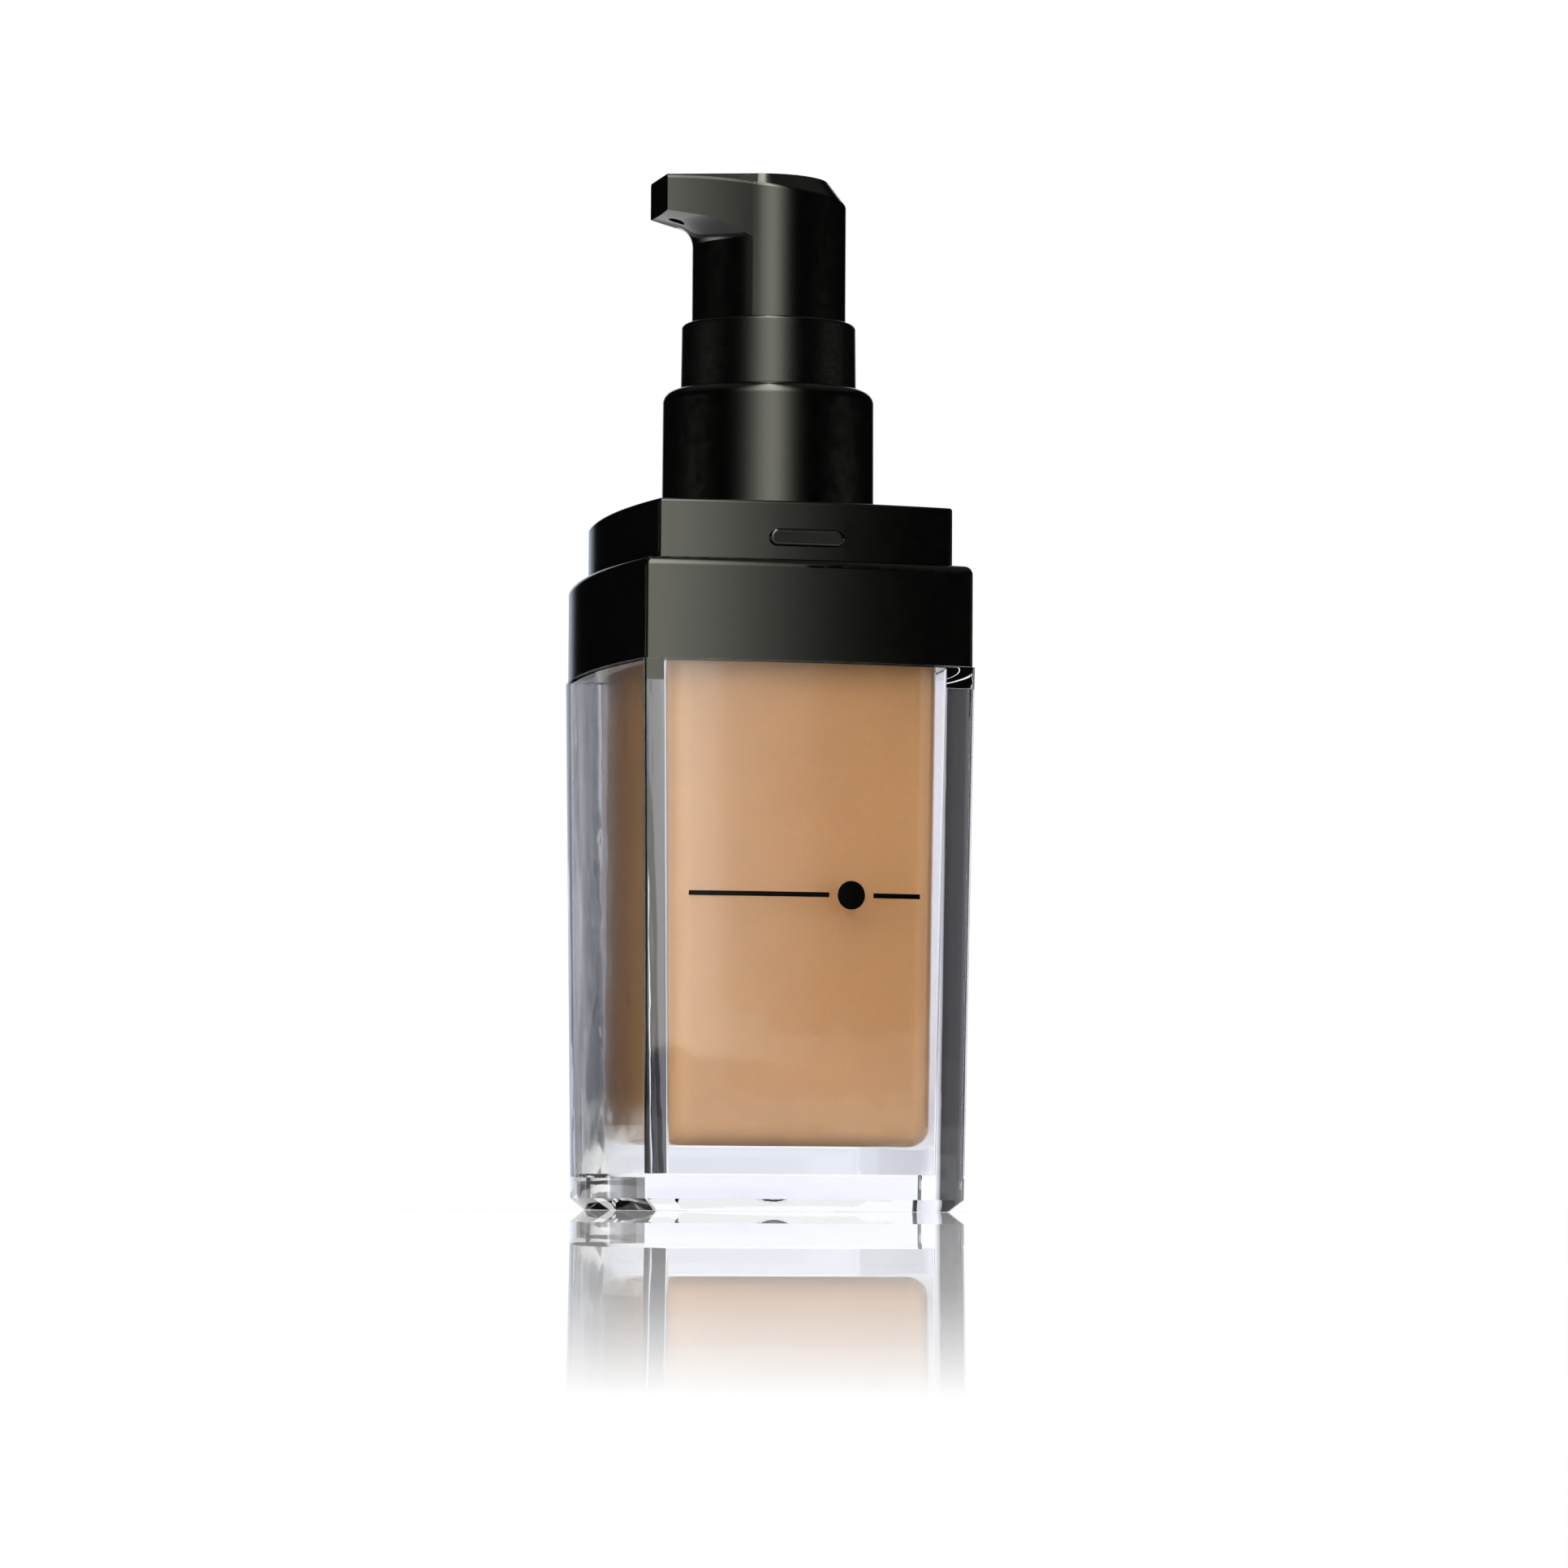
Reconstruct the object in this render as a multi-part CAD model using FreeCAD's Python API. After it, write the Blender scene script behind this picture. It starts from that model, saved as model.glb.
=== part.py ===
"""Square double-walled foundation bottle with a treatment pump, overcap off.

A thick clear outer shell with bowed sides holds a thin-walled inner bottle of liquid foundation.
A black shoulder band and a stepped cap seat close the top.  The pump screws on the inner bottle's
neck: its beaked actuator slides in the closure's guide tube and returns by a spring.
Units are millimetres.  +Z is up, the origin is the centre of the base, the beak points along -X
and the printed face looks along -Y.
"""

import FreeCAD
import Part
import math
import os

V = FreeCAD.Vector
X_AXIS = V(1, 0, 0)
Y_AXIS = V(0, 1, 0)
Z_AXIS = V(0, 0, 1)
ORIGIN = V(0, 0, 0)
PAST = 1.0                  # how far a cutter reaches past the face it opens

# ---- driving dimensions: square body ----
BODY_HALF = 16.5            # centre to corner line of the shoulder band, along X or Y
BOW = 1.45                  # how far each side bulges past its corner line
CORNER_R = 0.45             # rounding of the upright edges
SHELL_H = 53.25             # outer shell height
SHELL_TOP_HALF = 16.68
SHELL_FOOT_HALF = 15.97     # corner half width just above the base chamfer
BASE_CHAMFER = 1.15
FLOOR_T = 3.6               # thickness of the clear base slab
CAVITY_TOP_HALF = 14.1      # the shell's square well, at its mouth
CAVITY_FOOT_HALF = 13.3
CAVITY_BOW = 1.0
BASE_DISH_R = 9.0           # shallow hollow that keeps the middle of the base off the table
BASE_DISH_DEPTH = 0.35
BASE_DISH_DRAFT = 0.3
GATE_BALL_R = 2.7           # round pit of the moulding gate
GATE_DEPTH = 0.75

# ---- inner bottle ----
INNER_TOP_HALF = 13.45      # at the height of the shell's rim
INNER_FOOT_HALF = 13.0
INNER_FOOT_Z = 6.3
INNER_WALL = 0.8
INNER_EDGE_R = 2.7          # upright edges
INNER_BOTTOM_R = 2.0
HOLLOW_BOTTOM_R = 1.7
FLANGE_T = 1.0              # the flange hangs the inner bottle on the shell's rim
FLANGE_HALF = 15.1
SHOULDER_Z = 56.6           # top of the inner bottle's flat shoulder
SHOULDER_T = 1.0
NECK_R = 7.75
NECK_BORE_R = 6.0
NECK_TOP_Z = 77.6
NECK_ROOT = 0.5             # depth the neck is rooted in the shoulder
NECK_RING_R = 9.75          # ring that holds the cap seat up
NECK_RING_T = 1.1
NECK_RING_GAP = 0.1
FILL_Z = 54.6               # liquid level
FILL_HAIR = 0.02            # liquid to bottle wall
FILL_TUBE_GAP = 0.1         # liquid to the pump's parts that stand in it
FILL_TUBE_DROP = 0.4

# ---- shoulder band and cap seat ----
BAND_TOP_Z = 63.25
BAND_WALL = 1.3
BAND_TOP_R = 0.9
SEAT_HALF = 14.86
SEAT_BOW = 1.3
SEAT_FOOT_GAP = 0.1
SEAT_TOP_Z = 69.05
SEAT_WALL = 1.2
SEAT_EDGE_R = 0.3
SEAT_GAP = 0.12
SEAT_RIM_OUT = 0.3          # rim under the band that holds the seat down
SEAT_RIM_T = 0.8
SEAT_RIM_GAP = 0.05
SEAT_HOLE_GAP = 0.25        # round hole for the neck, past its thread
BEAD_Z = 65.45
BEAD_SHIFT = 0.35
BEAD_LENGTH = 7.6
BEAD_WIDTH = 1.75
BEAD_PROUD = 0.4
BEAD_RIM_R = 0.36

# ---- closure ----
PITCH = 3.175
THREAD_DEPTH = 1.0
THREAD_CREST = 0.7
THREAD_ROOT = 1.25
THREAD_BITE = 0.15          # depth a ridge is rooted in its wall
THREAD_TURNS = 1.4
NECK_THREAD_Z = 71.6        # middle of the neck ridge where it starts
CLOSURE_THREAD_DROP = 1.3
CLOSURE_BORE_R = 8.95
CLOSURE_R = 9.6
CLOSURE_FOOT_Z = 69.5
DECK_Z = 79.2               # underside of the closure's deck
DECK_T = 0.9
DECK_HOLE_R = 2.85
GUIDE_R = 8.8
GUIDE_BORE_R = 7.9
GUIDE_TOP_Z = 88.4
GUIDE_DRAFT = 0.1
GUIDE_EDGE_R = 0.35
SLEEVE_R = 10.6
SLEEVE_FOOT_Z = 69.2
SLEEVE_TOP_Z = 81.7
SLEEVE_TOP_R = 1.2
SLEEVE_DRAFT = 0.05
SLEEVE_LIP_R = 8.95
SLEEVE_LIP_GAP = 0.1

# ---- pump engine ----
RUNNING_GAP = 0.05
PLUG_GAP = 0.02
GASKET_T = 0.7
GASKET_BORE_R = 4.2
HOUSING_FLANGE_R = 7.4
HOUSING_R = 3.9
HOUSING_EDGE_R = 0.4
HOUSING_FLOOR_T = 0.8
CHAMBER_R = 2.85
CHAMBER_FLOOR_Z = 61.0
VENT_R = 0.3
VENT_DROP = 2.2
SEAT_CONE_Z = 58.6
SEAT_CONE_H = 0.9
INLET_R = 0.9
BALL_R = 1.5
BALL_GAP = 0.15
BALL_HAIR = 0.01
CAGE_T = 0.8
CAGE_BORE_R = 1.2
TUBE_SOCKET_Z = 51.6
TUBE_SOCKET_DEPTH = 4.6
TUBE_SOCKET_R = 2.55
DIP_TUBE_R = 1.6
DIP_TUBE_BORE_R = 1.05
DIP_TUBE_FOOT_Z = 8.4
DIP_TUBE_SLANT = 25         # cut of its lower end, in degrees
DIP_TUBE_CUT_RISE = 0.6
GUIDE_PLUG_FOOT_Z = 75.5    # lower end of the stem guide, the piston's upper stop
PLUG_FLANGE_R = 4.4
PLUG_FLANGE_T = 0.45
PLUG_CROWN_R = 3.1
PLUG_CROWN_H = 1.25
PLUG_MOUTH = 0.3
STEM_R = 2.2
STEM_BORE_R = 1.15
STEM_FOOT_Z = 76.6
STEM_TOP_Z = 98.6
STEM_EDGE = 0.3
SPIGOT_R = 1.45             # the rod's spigot turns in the stem's foot
SPIGOT_H = 2.6
SPIGOT_TAPER = 0.2
SPIGOT_GAP = 0.1
ROD_R = 1.5
ROD_HAIR = 0.02
ROD_FOOT_R = 2.25
ROD_FOOT_T = 0.9
ROD_FOOT_EDGE = 0.4
ROD_BORE_R = 0.75
PORT_R = 0.45
PORT_RISE = 0.97
PORT_SUMP = 0.7             # the bore runs this far below the ports' middle
PISTON_FOOT_Z = 71.6
PISTON_H = 3.75
PISTON_HUB_R = 2.25
PISTON_EDGE = 0.2
LIP_T = 0.35
LIP_SHY = 0.05
LIP_CUP = 0.5
LIP_ROOT = 1.3
SPRING_WIRE_R = 0.24
SPRING_R = 2.2
SPRING_TURNS = 7

# ---- actuator ----
HEAD_R = 7.7
HEAD_TOP_Z = 102.8
SKIRT_FOOT_Z = 85.6
SKIRT_WALL = 1.2
BEAK_REACH = 11.4           # axis to the beak's end face
BEAK_HALF_W = 3.5
BEAK_JOIN_ANGLE = 27        # where the beak's sides run into the round head, from +-Y
UNDERCUT_R = 2.4            # hollow where the beak's underside meets the head
UNDERCUT_Z = 96.3
UNDERCUT_SLOPE = 13         # rise of the underside towards the tip, in degrees
UNDERCUT_SPAN = 4.0
TOP_FLAT_R = 6.6            # the flat top's round end, set off towards the beak
TOP_FLAT_SHIFT = 0.7
TOP_BEVEL_RISE = 1.33       # height of the top's bevel per width
TOP_BEVEL_DEPTH = 10.0
TOP_OVERRUN = 2.0
TIP_INSET = 0.2
BEAK_EDGE_R = 0.45
ROOF_T = 1.2
ROOF_COVE_H = 1.6
ROOF_COVE_W = 1.6
BEAK_WALL = 1.1
CHANNEL_Z = 100.45
CHANNEL_R = 0.55
CHANNEL_TUBE_R = 0.85
CHANNEL_FIT = 0.03
OUTLET_X = -9.6
OUTLET_R = 0.65
OUTLET_RELIEF = 0.15
OUTLET_DROP = 3.0
CORE_GAP = 0.05
CORE_BOSS_R = 3.3
CORE_FOOT_Z = 90.0
CORE_WEB_T = 0.9
CORE_WEB_H = 6.0
CORE_WEB_DROP = 9.2
CORE_WEB_GAP = 0.1
CORE_PLUG_T = 0.45          # closed end of the channel


# ---- shared builders ----
def save(name, shape):
    """Writes one node and prints its volume, so a broken solid shows at once."""
    solids = shape.Solids
    volume = sum(s.Volume for s in solids)
    print(f"{name:18s} solids {len(solids)}  valid {shape.isValid()}  volume {volume:9.2f}")
    shape.exportStep(f"parts/{name}.step")


def pillow_wire(half, bow, corner, z):
    """A square of bowed sides with rounded corners, flat at height z."""
    face_r = (half ** 2 + bow ** 2) / (2 * bow)
    back = face_r - (half + bow)
    reach = face_r - corner
    q = (-back + math.sqrt(2 * reach ** 2 - back ** 2)) / 2   # corner arc's centre is at (q, q)
    ux, uy = (q + back) / reach, q / reach
    tx, ty = face_r * ux - back, face_r * uy
    mid = q + corner / math.sqrt(2)
    edges = []
    for turn in range(4):
        spin = FreeCAD.Rotation(Z_AXIS, 90 * turn)
        points = [V(tx, -ty, z), V(half + bow, 0, z), V(tx, ty, z), V(mid, mid, z), V(ty, tx, z)]
        side_a, side_m, side_b, corner_m, corner_b = [spin.multVec(p) for p in points]
        edges.append(Part.Arc(side_a, side_m, side_b).toShape())
        edges.append(Part.Arc(side_b, corner_m, corner_b).toShape())
    return Part.Wire(edges)


def pillow_prism(half, bow, corner, z0, z1):
    return Part.Face(pillow_wire(half, bow, corner, z0)).extrude(V(0, 0, z1 - z0))


def pillow_loft(sections, corner):
    """A solid through (half, bow, z) sections."""
    return Part.makeLoft([pillow_wire(h, b, corner, z) for h, b, z in sections], True, True)


def turned(profile):
    """Revolves a closed outline of (radius, z) points about Z."""
    points = [V(r, 0, z) for r, z in profile]
    outline = Part.makePolygon(points + points[:1])
    return Part.Face(outline).revolve(ORIGIN, Z_AXIS, 360)


def tube(outer, inner, z0, z1):
    return turned([(inner, z0), (outer, z0), (outer, z1), (inner, z1)])


def rod(radius, z0, z1):
    return Part.makeCylinder(radius, z1 - z0, V(0, 0, z0))


def rim_fillet(shape, size, z, radius):
    """Rounds the circular edge of that height and radius."""
    rims = []
    for edge in shape.Edges:
        curve = edge.Curve
        if isinstance(curve, Part.Circle) and abs(curve.Radius - radius) < 1e-3:
            if abs(curve.Center.z - z) < 1e-3:
                rims.append(edge)
    return shape.makeFillet(size, rims)


def level_edges(shape, z, reach):
    """Edges that lie flat at height z, no nearer to the axis than reach."""
    found = []
    for edge in shape.Edges:
        box = edge.BoundBox
        flat = abs(box.ZMin - z) < 1e-4 and abs(box.ZMax - z) < 1e-4
        middle = edge.valueAt((edge.FirstParameter + edge.LastParameter) / 2)
        if flat and math.hypot(middle.x, middle.y) >= reach:
            found.append(edge)
    return found


def thread_ridge(radius, outward, z):
    """A helical ridge on a wall of that radius; outward is +1 on the neck, -1 in the closure."""
    root = radius - outward * THREAD_BITE
    crest = radius + outward * THREAD_DEPTH
    helix = Part.makeHelix(PITCH, PITCH * THREAD_TURNS, radius)
    helix.translate(V(0, 0, z))
    outline = [
        V(root, 0, z - THREAD_ROOT / 2),
        V(crest, 0, z - THREAD_CREST / 2),
        V(crest, 0, z + THREAD_CREST / 2),
        V(root, 0, z + THREAD_ROOT / 2),
    ]
    profile = Part.makePolygon(outline + outline[:1])
    return Part.Wire(helix.Edges).makePipeShell([profile], True, True)


def taper_at(top, foot, z, z_top, z_foot):
    """Half width of a drafted wall at height z."""
    return foot + (top - foot) * (z - z_foot) / (z_top - z_foot)


def well_half(z):
    return taper_at(CAVITY_TOP_HALF, CAVITY_FOOT_HALF, z, SHELL_H, FLOOR_T)


def inner_half(z):
    return taper_at(INNER_TOP_HALF, INNER_FOOT_HALF, z, SHELL_H, INNER_FOOT_Z)


# ---- bottle ----
def outer_shell():
    foot = (SHELL_FOOT_HALF, BOW, BASE_CHAMFER)
    base = (SHELL_FOOT_HALF - BASE_CHAMFER, BOW, 0)
    body = pillow_loft([base, foot, (SHELL_TOP_HALF, BOW, SHELL_H)], CORNER_R)
    well_z = SHELL_H + PAST
    well = pillow_loft(
        [(well_half(FLOOR_T), CAVITY_BOW, FLOOR_T), (well_half(well_z), CAVITY_BOW, well_z)], CORNER_R
    )
    dish_r = BASE_DISH_R + BASE_DISH_DRAFT
    dish = Part.makeCone(dish_r, BASE_DISH_R, BASE_DISH_DEPTH)
    gate = Part.makeSphere(GATE_BALL_R, V(0, 0, GATE_DEPTH + BASE_DISH_DEPTH - GATE_BALL_R))
    return body.cut(well).cut(dish).cut(gate)


def liquid_space(foot_z, top_z, clear):
    """The inside of the inner bottle's body between two heights, drawn in by clear."""
    inset = INNER_WALL + clear
    sections = [(inner_half(z) - inset, CAVITY_BOW, z) for z in (foot_z, top_z)]
    space = pillow_loft(sections, INNER_EDGE_R - INNER_WALL)
    return space.makeFillet(HOLLOW_BOTTOM_R, level_edges(space, foot_z, 0))


def inner_bottle():
    sections = [(inner_half(z), CAVITY_BOW, z) for z in (INNER_FOOT_Z, SHOULDER_Z)]
    outer = pillow_loft(sections, INNER_EDGE_R)
    outer = outer.makeFillet(INNER_BOTTOM_R, level_edges(outer, INNER_FOOT_Z, 0))
    flange = pillow_prism(FLANGE_HALF, BOW, CORNER_R, SHELL_H, SHELL_H + FLANGE_T)
    ring_z = SEAT_TOP_Z - SEAT_WALL - NECK_RING_GAP
    neck = tube(NECK_R, NECK_BORE_R, SHOULDER_Z - NECK_ROOT, NECK_TOP_Z)
    ring = tube(NECK_RING_R, NECK_BORE_R, ring_z - NECK_RING_T, ring_z)
    solid = outer.fuse([flange, neck, ring])
    hollow = liquid_space(INNER_FOOT_Z + INNER_WALL, SHOULDER_Z - SHOULDER_T, 0)
    bore = rod(NECK_BORE_R, SHOULDER_Z - SHOULDER_T - PAST, NECK_TOP_Z + PAST)
    solid = solid.cut(hollow).cut(bore)
    return solid.fuse(thread_ridge(NECK_R, 1, NECK_THREAD_Z)).removeSplitter()


def foundation_fill():
    """The liquid, clear of the bottle wall by a hair and of the pump and dip tube that stand in it."""
    liquid = liquid_space(INNER_FOOT_Z + INNER_WALL + FILL_HAIR, FILL_Z, FILL_HAIR)
    tube_way = rod(DIP_TUBE_R + FILL_TUBE_GAP, DIP_TUBE_FOOT_Z - FILL_TUBE_DROP, FILL_Z + PAST)
    socket_way = rod(TUBE_SOCKET_R + FILL_TUBE_GAP, TUBE_SOCKET_Z - FILL_TUBE_DROP, FILL_Z + PAST)
    return liquid.cut(tube_way).cut(socket_way)


def shoulder_band():
    band = pillow_prism(BODY_HALF, BOW, CORNER_R, SHELL_H, BAND_TOP_Z)
    band = band.makeFillet(BAND_TOP_R, level_edges(band, BAND_TOP_Z, 0))
    inside = pillow_prism(BODY_HALF - BAND_WALL, BOW, CORNER_R, SHELL_H - PAST, BAND_TOP_Z - BAND_WALL)
    window = pillow_prism(SEAT_HALF + SEAT_GAP, SEAT_BOW, CORNER_R, SHELL_H, BAND_TOP_Z + PAST)
    return band.cut(inside).cut(window)


def snap_bead():
    """A raised bead with round ends and a soft rim on the -Y side of the cap seat."""
    half_run = (BEAD_LENGTH - BEAD_WIDTH) / 2
    half_w = BEAD_WIDTH / 2
    front_y = -(SEAT_HALF + SEAT_BOW + BEAD_PROUD)
    left, right = -half_run - BEAD_SHIFT, half_run - BEAD_SHIFT
    low, high = BEAD_Z - half_w, BEAD_Z + half_w
    corners = [V(x, front_y, z) for x, z in ((left, low), (right, low), (right, high), (left, high))]
    right_end = V(right + half_w, front_y, BEAD_Z)
    left_end = V(left - half_w, front_y, BEAD_Z)
    edges = [
        Part.LineSegment(corners[0], corners[1]).toShape(),
        Part.Arc(corners[1], right_end, corners[2]).toShape(),
        Part.LineSegment(corners[2], corners[3]).toShape(),
        Part.Arc(corners[3], left_end, corners[0]).toShape(),
    ]
    bead = Part.Face(Part.Wire(edges)).extrude(V(0, BEAD_PROUD + SEAT_WALL / 2, 0))
    rim = [edge for edge in bead.Edges if abs(edge.BoundBox.YMax - front_y) < 1e-4]
    return bead.makeFillet(BEAD_RIM_R, rim)


def cap_seat():
    foot_z = SHELL_H + FLANGE_T + SEAT_FOOT_GAP
    rim_z = BAND_TOP_Z - BAND_WALL - SEAT_RIM_GAP
    seat = pillow_prism(SEAT_HALF, SEAT_BOW, CORNER_R, foot_z, SEAT_TOP_Z)
    seat = seat.makeFillet(SEAT_EDGE_R, level_edges(seat, SEAT_TOP_Z, 0))
    rim = pillow_prism(SEAT_HALF + SEAT_RIM_OUT, SEAT_BOW, CORNER_R, rim_z - SEAT_RIM_T, rim_z)
    bead = snap_bead()
    seat = seat.fuse([rim, bead, bead.rotated(ORIGIN, Z_AXIS, 180)])
    roof_z = SEAT_TOP_Z - SEAT_WALL
    inside = pillow_prism(SEAT_HALF - SEAT_WALL, SEAT_BOW, CORNER_R, foot_z - PAST, roof_z)
    neck_hole = rod(NECK_R + THREAD_DEPTH + SEAT_HOLE_GAP, roof_z - PAST, SEAT_TOP_Z + PAST)
    return seat.cut(inside).cut(neck_hole)


# ---- closure ----
def closure():
    deck_top = DECK_Z + DECK_T
    shape = turned([
        (CLOSURE_BORE_R, CLOSURE_FOOT_Z),
        (CLOSURE_R, CLOSURE_FOOT_Z),
        (CLOSURE_R, deck_top),
        (GUIDE_R, deck_top),
        (GUIDE_R - GUIDE_DRAFT, GUIDE_TOP_Z),
        (GUIDE_BORE_R, GUIDE_TOP_Z),
        (GUIDE_BORE_R, deck_top),
        (DECK_HOLE_R, deck_top),
        (DECK_HOLE_R, DECK_Z),
        (CLOSURE_BORE_R, DECK_Z),
    ])
    shape = rim_fillet(shape, GUIDE_EDGE_R, GUIDE_TOP_Z, GUIDE_R - GUIDE_DRAFT)
    # the ridge keeps half a pitch from the neck's: its start is turned along with its drop
    ridge = thread_ridge(CLOSURE_BORE_R, -1, NECK_THREAD_Z + PITCH / 2 - CLOSURE_THREAD_DROP)
    ridge.rotate(ORIGIN, Z_AXIS, -360 * CLOSURE_THREAD_DROP / PITCH)
    return shape.fuse(ridge).removeSplitter()


def closure_sleeve():
    lip_z = DECK_Z + DECK_T + SLEEVE_LIP_GAP
    top_r = SLEEVE_R - SLEEVE_DRAFT
    sleeve = turned([
        (CLOSURE_R + RUNNING_GAP, SLEEVE_FOOT_Z),
        (SLEEVE_R, SLEEVE_FOOT_Z),
        (top_r, SLEEVE_TOP_Z),
        (SLEEVE_LIP_R, SLEEVE_TOP_Z),
        (SLEEVE_LIP_R, lip_z),
        (CLOSURE_R + RUNNING_GAP, lip_z),
    ])
    return rim_fillet(sleeve, SLEEVE_TOP_R, SLEEVE_TOP_Z, top_r)


# ---- pump engine ----
def neck_gasket():
    return tube(HOUSING_FLANGE_R, GASKET_BORE_R, NECK_TOP_Z, NECK_TOP_Z + GASKET_T)


def pump_housing():
    flange_z = NECK_TOP_Z + GASKET_T
    socket_top = TUBE_SOCKET_Z + TUBE_SOCKET_DEPTH
    barrel_foot_z = socket_top + HOUSING_FLOOR_T
    ball_well_r = BALL_R + BALL_GAP
    barrel = rod(HOUSING_R, barrel_foot_z, DECK_Z)
    flange = rod(HOUSING_FLANGE_R, flange_z, DECK_Z)
    nose = rod(TUBE_SOCKET_R, TUBE_SOCKET_Z, barrel_foot_z + PAST)
    body = rim_fillet(barrel.fuse([flange, nose]), HOUSING_EDGE_R, barrel_foot_z, HOUSING_R)
    hollows = [
        rod(CHAMBER_R, CHAMBER_FLOOR_Z, DECK_Z + PAST),
        rod(ball_well_r, SEAT_CONE_Z, CHAMBER_FLOOR_Z + PAST),
        Part.makeCone(INLET_R, ball_well_r, SEAT_CONE_H, V(0, 0, SEAT_CONE_Z - SEAT_CONE_H)),
        rod(INLET_R, TUBE_SOCKET_Z - PAST, SEAT_CONE_Z),
        rod(DIP_TUBE_R, TUBE_SOCKET_Z - PAST, socket_top),
        Part.makeCylinder(VENT_R, HOUSING_R * 2, V(0, 0, flange_z - VENT_DROP), Y_AXIS),
    ]
    for hollow in hollows:
        body = body.cut(hollow)
    return body


def ball_cage():
    """Ring on the chamber floor: keeps the ball in its well and seats the return spring."""
    return tube(CHAMBER_R - PLUG_GAP, CAGE_BORE_R, CHAMBER_FLOOR_Z, CHAMBER_FLOOR_Z + CAGE_T)


def stem_guide():
    """Plug in the housing's mouth: holds the closure's deck, guides the stem and stops the piston."""
    foot_z = DECK_Z + DECK_T + RUNNING_GAP
    crown_z = foot_z + PLUG_CROWN_H
    bore = STEM_R + RUNNING_GAP
    plug_r = CHAMBER_R - PLUG_GAP
    return turned([
        (bore, GUIDE_PLUG_FOOT_Z),
        (plug_r, GUIDE_PLUG_FOOT_Z),
        (plug_r, foot_z),
        (PLUG_FLANGE_R, foot_z),
        (PLUG_FLANGE_R, foot_z + PLUG_FLANGE_T),
        (PLUG_CROWN_R, crown_z),
        (bore + PLUG_MOUTH, crown_z),
        (bore, crown_z - PLUG_MOUTH),
    ])


def inlet_ball():
    """Rests on the seat cone, a hair clear of it."""
    slope = math.atan2(SEAT_CONE_H, BALL_R + BALL_GAP - INLET_R)
    apex_z = SEAT_CONE_Z - SEAT_CONE_H - INLET_R * math.tan(slope)
    centre_z = apex_z + (BALL_R + BALL_HAIR) / math.cos(slope)
    return Part.makeSphere(BALL_R, V(0, 0, centre_z))


def dip_tube():
    top_z = TUBE_SOCKET_Z + TUBE_SOCKET_DEPTH - SPIGOT_GAP
    body = tube(DIP_TUBE_R - BALL_HAIR, DIP_TUBE_BORE_R, DIP_TUBE_FOOT_Z, top_z)
    side = 5 * DIP_TUBE_R
    slant = Part.makeBox(side, side, side, V(-side / 2, -side / 2, -side))
    slant.rotate(ORIGIN, X_AXIS, DIP_TUBE_SLANT)
    slant.translate(V(0, 0, DIP_TUBE_FOOT_Z + DIP_TUBE_CUT_RISE))
    return body.cut(slant)


def piston():
    """Sliding seal: a thin cup lip at each end wipes the chamber."""
    bore = ROD_R + RUNNING_GAP
    lip = CHAMBER_R - PLUG_GAP
    lower = [
        (bore, 0),
        (PISTON_HUB_R - PISTON_EDGE, 0),
        (PISTON_HUB_R, LIP_CUP),
        (lip - LIP_T, LIP_SHY),
        (lip, 0),
        (lip, LIP_CUP),
        (PISTON_HUB_R, LIP_ROOT),
    ]
    upper = [(r, PISTON_H - h) for r, h in reversed(lower)]
    return turned([(r, PISTON_FOOT_Z + h) for r, h in lower + upper])


def piston_rod():
    """Hollow rod that carries the piston; its spigot turns in the stem's foot."""
    foot_z = PISTON_FOOT_Z - ROD_HAIR
    shoulder_z = STEM_FOOT_Z - 2 * ROD_HAIR
    spigot_top = STEM_FOOT_Z + SPIGOT_H
    shape = turned([
        (0, foot_z - ROD_FOOT_T),
        (ROD_FOOT_R - ROD_FOOT_EDGE, foot_z - ROD_FOOT_T),
        (ROD_FOOT_R, foot_z - ROD_FOOT_T + ROD_FOOT_EDGE),
        (ROD_FOOT_R, foot_z),
        (ROD_R, foot_z),
        (ROD_R, shoulder_z),
        (SPIGOT_R, shoulder_z),
        (SPIGOT_R, spigot_top - 2 * SPIGOT_TAPER),
        (SPIGOT_R - SPIGOT_TAPER, spigot_top),
        (0, spigot_top),
    ])
    port_z = PISTON_FOOT_Z + PORT_RISE - 2 * ROD_HAIR
    port = Part.makeCylinder(PORT_R, 4 * ROD_R, V(-2 * ROD_R, 0, port_z), X_AXIS)
    bore = rod(ROD_BORE_R, port_z - PORT_SUMP, spigot_top + PAST)
    return shape.cut(bore).cut(port).cut(port.rotated(ORIGIN, Z_AXIS, 90))


def stem():
    socket_r = SPIGOT_R + RUNNING_GAP
    socket_top = STEM_FOOT_Z + SPIGOT_H + SPIGOT_GAP
    return turned([
        (socket_r, STEM_FOOT_Z),
        (STEM_R - STEM_EDGE / 2, STEM_FOOT_Z),
        (STEM_R, STEM_FOOT_Z + STEM_EDGE),
        (STEM_R, STEM_TOP_Z - STEM_EDGE),
        (STEM_R - STEM_EDGE / 2, STEM_TOP_Z),
        (STEM_BORE_R, STEM_TOP_Z),
        (STEM_BORE_R, socket_top),
        (socket_r, socket_top),
    ])


def return_spring():
    """Round-wire compression spring between the ball cage and the rod's foot."""
    foot_z = CHAMBER_FLOOR_Z + CAGE_T + SPRING_WIRE_R
    top_z = PISTON_FOOT_Z - ROD_FOOT_T - 2 * RUNNING_GAP - SPRING_WIRE_R
    run = top_z - foot_z
    helix = Part.makeHelix(run / SPRING_TURNS, run, SPRING_R)
    helix.translate(V(0, 0, foot_z))
    section = Part.Wire(Part.makeCircle(SPRING_WIRE_R, V(SPRING_R, 0, foot_z), Y_AXIS))
    return Part.Wire(helix.Edges).makePipeShell([section], True, True)


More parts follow.
